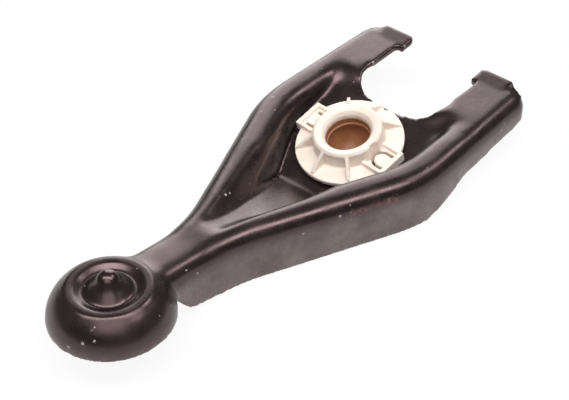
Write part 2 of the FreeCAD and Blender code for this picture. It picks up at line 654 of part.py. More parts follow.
def tongue_slit(number, turn):
    """The narrow slit round a clip's tongue, a wide tongue's shape less the tongue itself."""
    inner = S + "tongue_half_width"
    outer = S + "tongue_half_width + Sizes.slit_width"
    middle_x = S + "spigot_radius + Sizes.tongue_half_width + Sizes.slit_width + Sizes.clip_play"
    place = polar(middle_x, "0", turn)
    bottom, top = "-Sizes.sheet_gauge", S + "hub_height + 1"
    end_x = leg_inner
    wide_x, wide_y = (middle_x, end_x), ("-(%s)" % outer, outer)
    narrow_x, narrow_y = (middle_x, end_x + " + 1"), ("-(%s)" % inner, inner)
    wide = fuse_all("slit_outer_%d" % number, [
        post("slit_round_%d" % number, outer, place, bottom, top),
        brick("slit_box_%d" % number, wide_x, wide_y, (bottom, top), turn)])
    narrow = fuse_all("tongue_%d" % number, [
        post("tongue_round_%d" % number, inner, place, bottom, top),
        brick("tongue_box_%d" % number, narrow_x, narrow_y, (bottom, top), turn)])
    return combine("Cut", "slit_%d" % number, wide, narrow)


cutters = []
for number, turn in enumerate(clip_turns, 1):
    ring_parts += clip(number, turn)
    cutters.append(tongue_slit(number, turn))
ring_parts.append(brick("key", (S + "flange_radius - Sizes.flange_thickness",
                                S + "flange_radius + Sizes.flange_thickness"),
                        ("-Sizes.rib_thickness / 2", S + "rib_thickness / 2"), (S + "flange_gap", flange_top),
                        S + "key_angle"))
cutters.append(post("notch", S + "notch_radius", polar(S + "flange_radius", "0", S + "notch_angle"), "0",
                    flange_top + " + 1"))
ring = combine("Cut", "socket_ring", fuse_all("ring_solid", ring_parts), fuse_all("ring_cutters", cutters))
on_pad(ring, SHIFT_X, SHIFT_Z)

# the ball cup
collar_foot = "(%s - Sizes.collar_height)" % seat_top
ball_centre = "(%s - sqrt(Sizes.ball_radius ^ 2 - Sizes.ball_entry_radius ^ 2))" % collar_foot
cup_bottom = "(%s - Sizes.ball_radius - Sizes.cup_wall)" % ball_centre
cup_outer = "(Sizes.seat_radius - Sizes.cup_fit)"
cup_chamfer = "(Sizes.cup_wall * 2.5)"
cup_solid = turned("cup_solid", [
    ("0", cup_bottom, None),
    (cup_outer + " - " + cup_chamfer, cup_bottom, None),
    (cup_outer, cup_bottom + " + " + cup_chamfer, None),
    (cup_outer, seat_top, None),
    ("0", seat_top, None),
])
collar_bore = drum("collar_bore", S + "bore_radius", collar_foot, seat_top + " + 1")
ball_space = doc.addObject("Part::Sphere", "ball_space")
ball_space.setExpression("Radius", S + "ball_radius")
ball_space.setExpression(".Placement.Base.z", ball_centre)
ball_cup = combine("Cut", "ball_cup", cup_solid, fuse_all("cup_space", [collar_bore, ball_space]))
on_pad(ball_cup, SHIFT_X, SHIFT_Z)

doc.recompute()
for item in doc.Objects:
    if any(word in item.State for word in ("Invalid", "Error")):
        raise RuntimeError("%s failed: %s" % (item.Name, item.State))
os.makedirs("parts", exist_ok=True)
for item in (fork, ring, ball_cup):
    if item.Shape.isNull() or not item.Shape.isValid() or len(item.Shape.Solids) != 1:
        raise RuntimeError("%s is not one valid solid" % item.Label)
    item.Shape.exportStep("parts/%s.step" % item.Label)
    print(item.Label, round(item.Shape.Volume), "mm3")
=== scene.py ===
# %% [markdown]
# # A clutch fork pressed from sheet steel
# The part is a lever pressed from one sheet of steel and painted black, with a white plastic
# socket ring clipped to its pad and a brown plastic ball cup inside the ring. The solids come from
# the CAD model, so this lesson never changes a size: it softens the forms in the way that a press
# and a coat of paint soften them, and then gives each piece its finish.

import math

import bpy
import numpy as np
from mathutils import Matrix, Vector


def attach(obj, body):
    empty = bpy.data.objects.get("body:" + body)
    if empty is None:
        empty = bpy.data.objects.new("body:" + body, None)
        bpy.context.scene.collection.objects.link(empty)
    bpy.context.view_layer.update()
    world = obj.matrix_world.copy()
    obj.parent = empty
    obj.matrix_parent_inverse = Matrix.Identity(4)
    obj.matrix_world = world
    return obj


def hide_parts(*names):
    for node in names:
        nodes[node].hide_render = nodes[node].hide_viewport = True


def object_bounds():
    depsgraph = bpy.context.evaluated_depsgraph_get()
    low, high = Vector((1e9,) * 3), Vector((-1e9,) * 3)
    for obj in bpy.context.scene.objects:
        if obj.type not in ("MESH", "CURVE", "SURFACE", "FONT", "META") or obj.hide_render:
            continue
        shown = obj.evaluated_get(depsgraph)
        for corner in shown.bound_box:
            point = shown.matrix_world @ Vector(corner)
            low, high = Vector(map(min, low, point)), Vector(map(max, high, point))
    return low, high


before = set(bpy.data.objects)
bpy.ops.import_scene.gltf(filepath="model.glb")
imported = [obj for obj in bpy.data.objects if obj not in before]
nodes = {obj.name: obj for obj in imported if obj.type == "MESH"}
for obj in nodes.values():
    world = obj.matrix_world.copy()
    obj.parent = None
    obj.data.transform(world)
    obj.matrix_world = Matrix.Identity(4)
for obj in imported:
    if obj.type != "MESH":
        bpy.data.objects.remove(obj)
cad_low, cad_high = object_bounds()
MM = 0.001
print("CAD nodes:", sorted(nodes), "box in mm:", [round(v / MM, 1) for v in cad_high - cad_low])

# %% [markdown]
# ## Camera
# The fork is seen from above and behind its cup end, by a fairly long lens, so that the two prongs
# stay almost parallel. A camera could be aimed with a Track To constraint, but here its place and
# its three directions are known, so they go straight into its matrix: right, up, and backwards.

# %% Camera
LENS = 88.6
CAMERA_PLACE = Vector((-313.39, -255.24, 302.96)) * MM
CAMERA_RIGHT = Vector((0.66764, -0.74439, -0.01193))
CAMERA_UP = Vector((0.48002, 0.41816, 0.77118))
CLIP_START = 10.0 * MM


def standing_at(place, right, up, back):
    """The matrix of something at a place, with its x, y and z along three directions."""
    return Matrix.Translation(place) @ Matrix((right, up, back)).transposed().to_4x4()


bpy.ops.object.camera_add()
camera = bpy.context.object
camera.name = "camera"
camera.data.lens = LENS
camera.data.clip_start = CLIP_START
camera.matrix_world = standing_at(CAMERA_PLACE, CAMERA_RIGHT, CAMERA_UP, CAMERA_RIGHT.cross(CAMERA_UP))
bpy.context.scene.camera = camera
bpy.context.scene.view_settings.view_transform = "Standard"
print("camera", round(CAMERA_PLACE.length / MM), "mm from the ball socket")

# %% [markdown]
# ## Small helpers for materials
# Every finish here is one shader with a few textures in front of it. Each texture is a node, whose
# sockets take a number, a colour or a link from another node. Writing these one by one hides what
# the material does, so one helper adds a node and fills its sockets, and the others are built on
# it. Patterns read Object coordinates, which are metres from the ball socket, so a scale of 1000
# makes a pattern about 1 mm across.

# %% Helpers for materials
def new_material(name):
    """An empty node material and its tree."""
    material = bpy.data.materials.new(name)
    material.use_nodes = True
    material.node_tree.nodes.clear()
    return material, material.node_tree


def feed(tree, value, socket):
    """Gives a socket a link from another socket, a colour or a number."""
    if isinstance(value, bpy.types.NodeSocket):
        tree.links.new(value, socket)
    elif isinstance(value, tuple):
        socket.default_value = (*value, 1.0)
    else:
        socket.default_value = value


def add_node(tree, kind, sockets=None, **settings):
    """A node with these settings; sockets says by name or number what each of them takes."""
    node = tree.nodes.new(kind)
    for key, value in settings.items():
        setattr(node, key, value)
    for key, value in (sockets or {}).items():
        feed(tree, value, node.inputs[key])
    return node


def in_order(*values):
    """Values for a node's sockets by their number, because some of its sockets share a name."""
    return dict(enumerate(values))


def calculate(tree, operation, *values):
    """The result of a Math node on one or two values."""
    return add_node(tree, "ShaderNodeMath", in_order(*values), operation=operation).outputs["Value"]


def largest(tree, values):
    """The largest of some values."""
    result = values[0]
    for value in values[1:]:
        result = calculate(tree, "MAXIMUM", result, value)
    return result


def surface(tree, shader_socket):
    """Makes a shader the material's surface."""
    add_node(tree, "ShaderNodeOutputMaterial", {"Surface": shader_socket})


print("helpers for materials are ready")

# %% [markdown]
# ## Floor and background
# A small part like this is shown on white. The floor is a matt white board. To the camera and in
# reflections most of its light is a plain white glow, so the board reads as white without more
# lamp light on the part, and the rest is lit, so the fork keeps its shadow.

# %% Floor and background
FLOOR_SIZE = 200.0
FLOOR_WHITE = (0.86, 0.86, 0.86)
FLOOR_GLOW = 0.92
RAYS_THAT_SEE_GLOW = ("Is Camera Ray", "Is Glossy Ray", "Is Transmission Ray")

bpy.ops.mesh.primitive_plane_add(size=FLOOR_SIZE, location=(0.0, 0.0, cad_low.z))
floor = bpy.context.object
floor.name = "floor"

board, tree = new_material("white_board")
matt = add_node(tree, "ShaderNodeBsdfDiffuse", {"Color": FLOOR_WHITE})
glow = add_node(tree, "ShaderNodeEmission")
rays = add_node(tree, "ShaderNodeLightPath").outputs
sees_glow = largest(tree, [rays[name] for name in RAYS_THAT_SEE_GLOW])
share = calculate(tree, "MULTIPLY", sees_glow, FLOOR_GLOW)
layers = in_order(share, matt.outputs["BSDF"], glow.outputs["Emission"])
surface(tree, add_node(tree, "ShaderNodeMixShader", layers).outputs["Shader"])
floor.data.materials.append(board)
print("floor at", round(cad_low.z / MM, 2), "mm")

# %% [markdown]
# ## Light
# Black paint shows its form only by what it mirrors. Under an even sky it would look like grey
# felt, so the sky is dim and four soft boxes do the work. A wide one stands low behind the part,
# like a white backdrop: the tops mirror its upper edge, and what leans away from the camera mirrors
# its middle and is brighter. A long strip overhead lights the far wall of the cup's recess and puts
# a glint on the cup's front. A weaker box high above the camera lifts what leans towards the camera,
# and a small one at the right runs along the near shoulder. The rest of the shoulders stays dark,
# and the skirts mirror the white floor.

# %% Light
SKY = 0.12
SKY_WHITE = (1.0, 0.98, 0.96)
# Each box: name, place in metres, width and height in metres, power in watts.
SOFT_BOXES = (
    ("back_box", (1.11, 1.01, 0.50), 1.0, 1.3, 12.5),
    ("overhead_strip", (-0.20, -0.17, 1.10), 1.8, 0.30, 14.5),
    ("camera_box", (-0.65, -0.53, 0.98), 1.0, 0.6, 4.0),
    ("right_box", (0.62, -0.32, 0.84), 0.25, 0.25, 1.6),
)

world = bpy.data.worlds.new("sky")
world.use_nodes = True
background = world.node_tree.nodes["Background"]
feed(world.node_tree, SKY_WHITE, background.inputs["Color"])
feed(world.node_tree, SKY, background.inputs["Strength"])
bpy.context.scene.world = world

for name, place, width, height, power in SOFT_BOXES:
    bpy.ops.object.light_add(type="AREA")
    lamp = bpy.context.object
    lamp.name = name
    away = Vector(place).normalized()
    side = (CAMERA_RIGHT - CAMERA_RIGHT.dot(away) * away).normalized()
    lamp.matrix_world = standing_at(place, side, away.cross(side), away)
    lamp.data.shape = "RECTANGLE"
    lamp.data.size = width
    lamp.data.size_y = height
    lamp.data.energy = power
print("soft boxes:", [box[0] for box in SOFT_BOXES])

# %% [markdown]
# ## Working on a copy of a CAD solid
# A CAD node is a shell of loose triangles with sharp borders between its faces. A copy is merged
# into one skin and rebuilt by a voxel remesh as an even net of small squares. On that net a
# smoothing modifier rounds every edge a little, as the radius of a press tool and a coat of paint
# do, and further smoothing can be held to a vertex group.

# %% Helpers for shaping
MERGE_DISTANCE = 0.002 * MM


def deselect():
    """Leaves edit mode with nothing selected, because an operator acts on all that is."""
    if bpy.context.object and bpy.context.object.mode != "OBJECT":
        bpy.ops.object.mode_set(mode="OBJECT")
    bpy.ops.object.select_all(action="DESELECT")


def select_only(piece):
    """Makes one piece the selected and active one."""
    deselect()
    piece.select_set(True)
    bpy.context.view_layer.objects.active = piece


def merged_copy(node_name, name):
    """A copy of a CAD node as its own object, with its triangles joined into one skin."""
    piece = bpy.data.objects.new(name, nodes[node_name].data.copy())
    bpy.context.scene.collection.objects.link(piece)
    piece.data.materials.clear()
    select_only(piece)
    bpy.ops.object.mode_set(mode="EDIT")
    bpy.ops.mesh.select_all(action="SELECT")
    bpy.ops.mesh.remove_doubles(threshold=MERGE_DISTANCE)
    bpy.ops.mesh.customdata_custom_splitnormals_clear()
    bpy.ops.object.mode_set(mode="OBJECT")
    return piece


print("helpers for shaping are ready")

# %% [markdown]
# ## The fork
# The real fork is one blank of sheet steel, drawn over a die: every bend has a generous radius,
# and the paint runs over the cut edges. At each prong's tip the folded lip runs down into the
# side of the prong. That corner is a small wedge. It could be cut with a boolean, but a cube added
# at the lip's outer end is easier to shape: its inner end is lowered a little along the lip's
# slope, its outer face is lowered more, and its front corner is drawn back. It is joined to the
# copy before the remesh, which melts the two into one skin.

# %% Fork: the corners of the lips
LIP_WEDGE_LOW = (51.5, 29.0, 2.0)
LIP_WEDGE_HIGH = (59.5, 36.0, 5.5)
LIP_WEDGE_SLOPE = 0.9
LIP_WEDGE_DROP = 2.2
LIP_WEDGE_BACK = 2.8
# A vertex of the wedge this close to one of its faces, in mm, lies on it.
SAME_FACE = 1.0


def add_block(low, high):
    """A box between two opposite corners in mm, its place in its mesh."""
    deselect()
    low, high = Vector(low) * MM, Vector(high) * MM
    size = [abs(length) for length in high - low]
    bpy.ops.mesh.primitive_cube_add(size=1.0, location=(low + high) / 2, scale=size)
    bpy.ops.object.transform_apply(location=True, rotation=True, scale=True)
    return bpy.context.object


def move_where(piece, test, by):
    """Moves the vertices whose place in mm passes a test, by a distance in mm."""
    select_only(piece)
    bpy.ops.object.mode_set(mode="EDIT")
    bpy.ops.mesh.select_all(action="DESELECT")
    bpy.ops.object.mode_set(mode="OBJECT")
    for vertex in piece.data.vertices:
        vertex.select = bool(test(vertex.co / MM))
    bpy.ops.object.mode_set(mode="EDIT")
    bpy.ops.mesh.select_mode(type="VERT")
    bpy.ops.transform.translate(value=Vector(by) * MM)
    bpy.ops.object.mode_set(mode="OBJECT")


def near(value, wanted):
    """Whether a coordinate in mm lies on a face of the wedge."""
    return abs(value - wanted) < SAME_FACE


def lip_wedge(side):
    """The wedge at the outer end of one lip, 1 for the far side and -1 for the near one."""
    inner_x, inner_y, bottom = LIP_WEDGE_LOW
    front_x, outer_y, top = LIP_WEDGE_HIGH
    outer = side * outer_y
    wedge = add_block((inner_x, side * inner_y, bottom), (front_x, outer, top))
    move_where(wedge, lambda p: near(p.x, inner_x), (0.0, 0.0, -LIP_WEDGE_SLOPE))
    move_where(wedge, lambda p: near(p.y, outer), (0.0, 0.0, -LIP_WEDGE_DROP))
    move_where(wedge, lambda p: near(p.y, outer) and near(p.x, front_x), (-LIP_WEDGE_BACK, 0.0, 0.0))
    return wedge


def join_to(piece, extra):
    """Joins an extra object to a piece, which keeps its own name."""
    select_only(piece)
    extra.select_set(True)
    bpy.ops.object.join()


fork = merged_copy("fork_pressing", "fork_pressing_skin")
for side in (1.0, -1.0):
    join_to(fork, lip_wedge(side))
print("fork with the corners of its lips:", len(fork.data.polygons), "triangles")

# %% [markdown]
# ### The recess of the push rod cup
# In the top of the cup the die pushed the sheet down round a raised cone. The recess has no
# straight wall: it rolls in from the flat rim, and the cone flares out like a bell until it meets
# the roll in a shallow trough. Half of the section is a ring of points, closed below inside the
# sheet. A circle with as many points is added, its points go to the section, and the Spin tool
# turns it round the cup's axis.

# %% Fork: recess and cone of the cup
CUP_AXIS = (-115.73, 0.0)
CUP_RIM = 6.92
# Each corner: distance from the axis, height above the rim.
CUP_FACE = (
    (0.0, 5.8), (1.0, 5.7), (2.0, 5.3), (2.9, 4.6), (3.5, 3.8), (4.0, 2.95), (4.6, 2.1), (5.3, 1.3),
    (6.1, 0.5), (6.9, -0.3), (7.6, -0.95), (8.2, -1.35), (8.7, -1.45), (9.3, -1.2), (10.1, -0.75),
    (10.9, -0.3), (11.3, -0.08), (11.7, 0.0), (12.1, 0.0),
)
CUP_BACK = (
    (12.2, -7.0), (10.5, -8.4), (8.4, -8.0), (6.2, -6.6), (4.4, -3.0), (3.2, 0.5), (2.2, 3.4),
    (0.0, 4.4),
)
SPIN_STEPS = 96


def spun(name, section, axis, rim):
    """A closed section of (radius, height) in mm, turned round an upright axis."""
    deselect()
    bpy.ops.mesh.primitive_circle_add(vertices=len(section))
    piece = bpy.context.object
    piece.name = name
    for corner, (radius, height) in zip(piece.data.vertices, section):
        corner.co = ((axis[0] + radius) * MM, axis[1] * MM, (rim + height) * MM)
    bpy.ops.object.mode_set(mode="EDIT")
    bpy.ops.mesh.select_all(action="SELECT")
    bpy.ops.mesh.spin(steps=SPIN_STEPS, angle=math.tau, axis=(0.0, 0.0, 1.0),
                      center=(axis[0] * MM, axis[1] * MM, 0.0))
    bpy.ops.mesh.select_all(action="SELECT")
    bpy.ops.mesh.remove_doubles(threshold=MERGE_DISTANCE)
    bpy.ops.mesh.normals_make_consistent(inside=False)
    bpy.ops.object.mode_set(mode="OBJECT")
    return piece


join_to(fork, spun("recess", CUP_FACE + CUP_BACK, CUP_AXIS, CUP_RIM))
print("recess and cone added:", len(fork.data.polygons), "faces")

# %% [markdown]
# ### One soft skin
# The merged solid, the wedges and the turned recess still cut through each other. A boolean could
# join them, but it would leave hard lines. A voxel remesh makes one closed skin of all that lies
# outside, and a few rounds of smoothing round its edges like the bends of a pressed sheet.

# %% Fork: one soft skin
FORK_VOXEL = 0.66 * MM
FORK_ROUNDS = 6
SMOOTH_FACTOR = 0.5


def apply_modifier(piece, kind, **settings):
    """Adds a modifier with these settings and applies it."""
    select_only(piece)
    modifier = piece.modifiers.new(kind.lower(), kind)
    for key, value in settings.items():
        setattr(modifier, key, value)
    bpy.ops.object.modifier_apply(modifier=modifier.name)


def remesh(piece, voxel):
    """Rebuilds a piece as one even net of squares of this size."""
    apply_modifier(piece, "REMESH", mode="VOXEL", voxel_size=voxel)


def smooth(piece, rounds, group=""):
    """Smooths a piece, or a vertex group of it, some rounds."""
    apply_modifier(piece, "SMOOTH", factor=SMOOTH_FACTOR, iterations=rounds, vertex_group=group)


remesh(fork, FORK_VOXEL)
smooth(fork, FORK_ROUNDS)
print("fork skin:", len(fork.data.polygons), "faces")

# %% [markdown]
# ### The point of the valley
# Towards the neck the valley has no end wall: its floor climbs to the neck's top and narrows to a
# blunt point between the two ridges. The sheet is pressed down there as the die does it: the new
# floor and its sloping walls are a height for each place in plan, a ray from above finds how high
# the sheet is now, and every point of it, on both sides, sinks by the difference.

# %% Fork: press the valley's point
# At each station along the fork, in mm: the floor's height, and half the width of the floor and
# of the valley between its ridges. The press fades out over the last stretch, towards the pad.
VALLEY_TOP = 3.2
VALLEY_STATIONS = (-75.0, -73.0, -64.0, -52.0, -44.0, -36.0, -30.0, -24.0)
VALLEY_FLOOR = (3.2, 3.1, 0.3, -2.9, -5.2, -7.9, -9.9, -12.0)
VALLEY_FLOOR_HALF = (2.0, 2.2, 2.6, 3.6, 5.4, 8.0, 10.6, 12.6)
VALLEY_RIDGE_HALF = (3.5, 4.4, 7.0, 11.0, 14.0, 17.0, 19.6, 21.6)
VALLEY_FADE = (-46.0, -24.0)
RAY_HEIGHT = 100.0


def vertex_rows(piece, what):
    """A property of each vertex, such as its place, as rows of x, y and z."""
    values = np.empty(len(piece.data.vertices) * 3)
    piece.data.vertices.foreach_get(what, values)
    return values.reshape(-1, 3)


def points_of(piece):
    """The places of a piece's vertices in mm."""
    return vertex_rows(piece, "co") / MM


def put_points(piece, points):
    """Puts a piece's vertices at these places in mm."""
    piece.data.vertices.foreach_set("co", (points * MM).ravel())
    piece.data.update()


def smooth_step(share):
    """0 to 1 with a soft start and a soft end."""
    share = np.clip(share, 0.0, 1.0)
    return share * share * (3.0 - 2.0 * share)


def height_below(piece, x, y):
    """How high the piece's upper face is at a place in plan, in mm."""
    hit, place, _, _ = piece.ray_cast(Vector((x, y, RAY_HEIGHT)) * MM, Vector((0.0, 0.0, -1.0)))
    return place.z / MM if hit else VALLEY_TOP


def press_valley(piece):
    """Presses the valley into a piece; returns how far each vertex sank, in mm."""
    points = points_of(piece)
    along, across = points[:, 0], np.abs(points[:, 1])
    floor_half = np.interp(along, VALLEY_STATIONS, VALLEY_FLOOR_HALF)
    ridge_half = np.interp(along, VALLEY_STATIONS, VALLEY_RIDGE_HALF)
    floor_height = np.interp(along, VALLEY_STATIONS, VALLEY_FLOOR)
    wall = smooth_step((across - floor_half) / (ridge_half - floor_half))
    wanted = floor_height + (VALLEY_TOP - floor_height) * wall
    kept = smooth_step((along - VALLEY_FADE[0]) / (VALLEY_FADE[1] - VALLEY_FADE[0]))
    inside = (along > VALLEY_STATIONS[0]) & (along < VALLEY_FADE[1]) & (across < ridge_half)
    drops = np.zeros(len(points))
    for number in np.flatnonzero(inside):
        now = height_below(piece, points[number, 0], points[number, 1])
        drops[number] = min(wanted[number] - now, 0.0) * (1.0 - kept[number])
    points[:, 2] += drops
    put_points(piece, points)
    return drops


drops = press_valley(fork)
print("valley pressed at", int((drops < 0.0).sum()), "points, by up to", round(-drops.min(), 1), "mm")

# %% [markdown]
# ### Wider hollows
# A sheet that is drawn over a die keeps fairly tight bends where it wraps round an edge, and wide
# ones where it is pushed into a corner. So the skin is smoothed again only where it is hollow: a
# vertex whose neighbours stand in front of it, along its normal, lies in a hollow. The weights
# are spread a little, so that the smoothing fades out.

# %% Fork: wider hollows
# A vertex is in a hollow if the average of its neighbours, some rounds out, stands this many mm
# in front of it.
HOLLOW_DEPTH = 0.02
NEIGHBOUR_ROUNDS = 3
# The weights are spread some rounds, and made larger again, so that a hollow's middle stays full.
SPREAD_ROUNDS = 4
SPREAD_GAIN = 3.0
HOLLOW_ROUNDS = 20
WEIGHT_STEPS = 20


def edges_of(piece):
    """The two vertex numbers of each edge."""
    pairs = np.empty(len(piece.data.edges) * 2, dtype=int)
    piece.data.edges.foreach_get("vertices", pairs)
    return pairs.reshape(-1, 2)


def spread(values, pairs, rounds):
    """The values averaged over each vertex's neighbours, some rounds."""
    count = np.bincount(pairs.ravel(), minlength=len(values))
    for _ in range(rounds):
        total = np.bincount(pairs[:, 0], weights=values[pairs[:, 1]], minlength=len(values))
        total += np.bincount(pairs[:, 1], weights=values[pairs[:, 0]], minlength=len(values))
        values = total / np.maximum(count, 1)
    return values


def hollow_weights(piece):
    """1 in the hollows of a skin and 0 on its flats and bulges."""
    places, pairs = points_of(piece), edges_of(piece)
    average = np.column_stack([spread(column, pairs, NEIGHBOUR_ROUNDS) for column in places.T])
    depth = np.einsum("ij,ij->i", average - places, vertex_rows(piece, "normal"))
    hollow = (depth > HOLLOW_DEPTH).astype(float)
    return np.clip(spread(hollow, pairs, SPREAD_ROUNDS) * SPREAD_GAIN, 0.0, 1.0)


def weight_group(piece, name, weights):
    """A vertex group with one weight per vertex, in even steps."""
    group = piece.vertex_groups.new(name=name)
    steps = np.round(np.clip(weights, 0.0, 1.0) * WEIGHT_STEPS).astype(int)
    for step in range(1, WEIGHT_STEPS + 1):
        group.add(np.flatnonzero(steps == step).tolist(), step / WEIGHT_STEPS, "REPLACE")
    return group.name


weights = hollow_weights(fork)
smooth(fork, HOLLOW_ROUNDS, weight_group(fork, "hollows", weights))
print("fork hollows:", int((weights > 0.0).sum()), "points")

# %% [markdown]
# ### Places that are softer still
# Where several bends run into each other the sheet was stretched most, and no line is left: at the
# root of the neck, round the valley's point, along the valley's walls, and at the two corners
# between pad and prongs. Each place is a ball of weights that fades out, smoothed for more rounds.

# %% Fork: softer places
# Each place: name, centre, full radius and fade in mm, rounds of smoothing.
SOFT_PLACES = (
    ("neck_root", (-96.0, 0.0, 3.0), 12.0, 8.0, 60),
    ("valley_point", (-62.0, 0.0, 1.0), 10.0, 8.0, 12),
    ("far_valley_wall", (-42.0, 10.0, -1.5), 9.0, 8.0, 40),
    ("near_valley_wall", (-42.0, -10.0, -1.5), 9.0, 8.0, 40),
    ("far_pad_corner", (26.3, 24.0, 1.0), 7.0, 6.0, 90),
    ("near_pad_corner", (26.3, -24.0, 1.0), 7.0, 6.0, 90),
)


def around(points, centre, radius, fade):
    """Weights that are 1 within the radius of a place and fade to 0 over the next stretch."""
    distance = np.linalg.norm(points - np.array(centre), axis=1)
    return np.clip((radius + fade - distance) / fade, 0.0, 1.0)


points = points_of(fork)
for name, centre, radius, fade, rounds in SOFT_PLACES:
    smooth(fork, rounds, weight_group(fork, name, around(points, centre, radius, fade)))
print("softer places:", [spot[0] for spot in SOFT_PLACES])

# %% [markdown]
# ### The cup's face
# The rim is flat and its outer edge is the crispest line on the fork. The smoothing has worn it
# down, so the points of the cup's upper face go back to the section that was spun, by their
# distance from its axis, and the pull fades out on the dome.

# %% Fork: the cup's face
DOME = ((13.7, 0.0), (14.6, -0.45), (15.6, -1.15))
FACE_FULL = 14.2
FACE_FADE = 1.4
# A vertex is on the upper face if its normal points up by this much, and if its height is within
# this many mm of the section's.
LEAST_UPWARD = 0.1
FACE_REACH = 2.0


def restore_face(piece):
    """Pulls the cup's upper face back to its section; returns each vertex's share of the pull."""
    points = points_of(piece)
    radius = np.hypot(points[:, 0] - CUP_AXIS[0], points[:, 1] - CUP_AXIS[1])
    section = np.array(CUP_FACE + DOME)
    wanted = CUP_RIM + np.interp(radius, section[:, 0], section[:, 1])
    upward = vertex_rows(piece, "normal")[:, 2] > LEAST_UPWARD
    upper = upward & (np.abs(points[:, 2] - wanted) < FACE_REACH)
    pull = np.where(upper, np.clip((FACE_FULL + FACE_FADE - radius) / FACE_FADE, 0.0, 1.0), 0.0)
    points[:, 2] += (wanted - points[:, 2]) * pull
    put_points(piece, points)
    return pull


def shade_smooth(piece):
    """Shades a piece as one smooth skin."""
    select_only(piece)
    bpy.ops.object.shade_smooth()


pull = restore_face(fork)
shade_smooth(fork)
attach(fork, "root")
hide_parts("fork_pressing")
print("cup's face:", int((pull > 0.0).sum()), "points")

# %% [markdown]
# ## The socket ring
# The ring is an injection moulding: its edges are crisp, with a radius of a few tenths of a
# millimetre. Bevels on the edges of the loose CAD triangles would be untidy, so the same copy,
# remesh and smooth are used, on a net fine enough for its ribs.

# %% Socket ring
RING_VOXEL = 0.26 * MM
MOULDING_ROUNDS = 3

ring = merged_copy("socket_ring", "socket_ring_moulding")
remesh(ring, RING_VOXEL)
smooth(ring, MOULDING_ROUNDS)
shade_smooth(ring)
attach(ring, "root")
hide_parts("socket_ring")
print("ring:", len(ring.data.polygons), "faces")

# %% [markdown]
# ## The ball cup
# The cup is turned in shape and sits deep in the ring, so only its mouth and seat show. It could
# be spun from a section, but the CAD solid has that shape already. So it takes the same steps as
# the ring, on a slightly finer net, because it is smaller.

# %% Ball cup
CUP_VOXEL = 0.25 * MM

cup = merged_copy("ball_cup", "ball_cup_moulding")
remesh(cup, CUP_VOXEL)
smooth(cup, MOULDING_ROUNDS)
shade_smooth(cup)
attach(cup, "root")
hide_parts("ball_cup")
print("ball cup:", len(cup.data.polygons), "faces")

# %% [markdown]
# ## Patterns
# A moulded or painted surface is never one flat colour. All the clouds below are noise, a texture
# whose values gather round 0.5. Map Range cuts a part out of these values and stretches it: a
# narrow part makes patches with hard edges, and a wide one makes soft clouds. The same noise
# drives the Bump node, which tilts the surface a little without moving it.

# %% Helpers for patterns
# The Mix node's sockets for colours share their names with those for numbers, so they go by number.
MIX_FIRST, MIX_SECOND, MIX_RESULT = 6, 7, 2


def object_place(tree):
    """The place on the object, in metres from the ball socket."""
    return add_node(tree, "ShaderNodeTexCoord").outputs["Object"]


def noise(tree, place, scale, detail, roughness):
    """A noise texture on a place."""
    sockets = {"Vector": place, "Scale": scale, "Detail": detail, "Roughness": roughness}
    return add_node(tree, "ShaderNodeTexNoise", sockets).outputs["Fac"]


def remap(tree, value, low, high, to_low=0.0, to_high=1.0):
    """The value stretched from low..high to to_low..to_high, and held inside."""
    sockets = {"Value": value, "From Min": low, "From Max": high, "To Min": to_low, "To Max": to_high}
    return add_node(tree, "ShaderNodeMapRange", sockets).outputs["Result"]


def clouds(tree, place, pattern, to_low=0.0, to_high=1.0):
    """A pattern of (scale, detail, roughness, low, high) as noise stretched from low to high."""
    scale, detail, roughness, low, high = pattern
    return remap(tree, noise(tree, place, scale, detail, roughness), low, high, to_low, to_high)


def blend_colours(tree, share, first, second):
    """A colour between two others; each is a colour or a socket."""
    sockets = {"Factor": share, MIX_FIRST: first, MIX_SECOND: second}
    return add_node(tree, "ShaderNodeMix", sockets, data_type="RGBA").outputs[MIX_RESULT]


def relief(tree, place, layers, strength):
    """Bumps on top of each other; each layer is (scale, detail, roughness, height in mm)."""
    normal = None
    for scale, detail, roughness, height in layers:
        sockets = {"Strength": strength, "Distance": height * MM}
        sockets["Height"] = noise(tree, place, scale, detail, roughness)
        if normal is not None:
            sockets["Normal"] = normal
        normal = add_node(tree, "ShaderNodeBump", sockets).outputs["Normal"]
    return normal


print("helpers for patterns are ready")

# %% [markdown]
# ## Black paint on steel
# The coat is thin and dips into the grain of the steel, so it is neither flat nor a mirror: a dark
# warm black under a soft gloss. A metallic shader mirrors in its own colour, so a black one would
# hardly shine. A plain one with a strong, slightly warm reflection does. The coat has worn to a
# greyer black in clouds. Its colour is built up in layers, each a blend over the one before.

# %% Black paint: shader and worn clouds
PAINT_DARK = (0.0060, 0.0040, 0.0040)
PAINT_WORN = (0.018, 0.0135, 0.0125)
PAINT_MIRROR = 0.95
PAINT_MIRROR_TINT = (1.0, 0.68, 0.69)
WORN_CLOUDS = (38.0, 6.0, 0.68, 0.42, 0.72)

paint, tree = new_material("black_paint")
place = object_place(tree)
mirror = {"Specular IOR Level": PAINT_MIRROR, "Specular Tint": PAINT_MIRROR_TINT}
shader = add_node(tree, "ShaderNodeBsdfPrincipled", mirror)
colour = blend_colours(tree, clouds(tree, place, WORN_CLOUDS), PAINT_DARK, PAINT_WORN)
print("material", paint.name, "with worn clouds")

# %% [markdown]
# ### Painted sheen on the skirts
# On the upright skirts a grey is painted into the paint's colour: a painted reflection of the white
# floor that they face. It could be painted by hand with an attribute, but that wouldn't follow a
# change of shape. So the skirts are found by the surface's own direction, which Geometry's Normal
# gives, and by their height, so that the upright walls of the cup's recess stay black. Noise makes the
# painted grey uneven.

# %% Black paint: painted floor sheen on the skirts
# The skirts' grey is a painted reflection of the white floor mirrored in them.
SKIRT_PAINTED_SHEEN = (0.135, 0.120, 0.112)
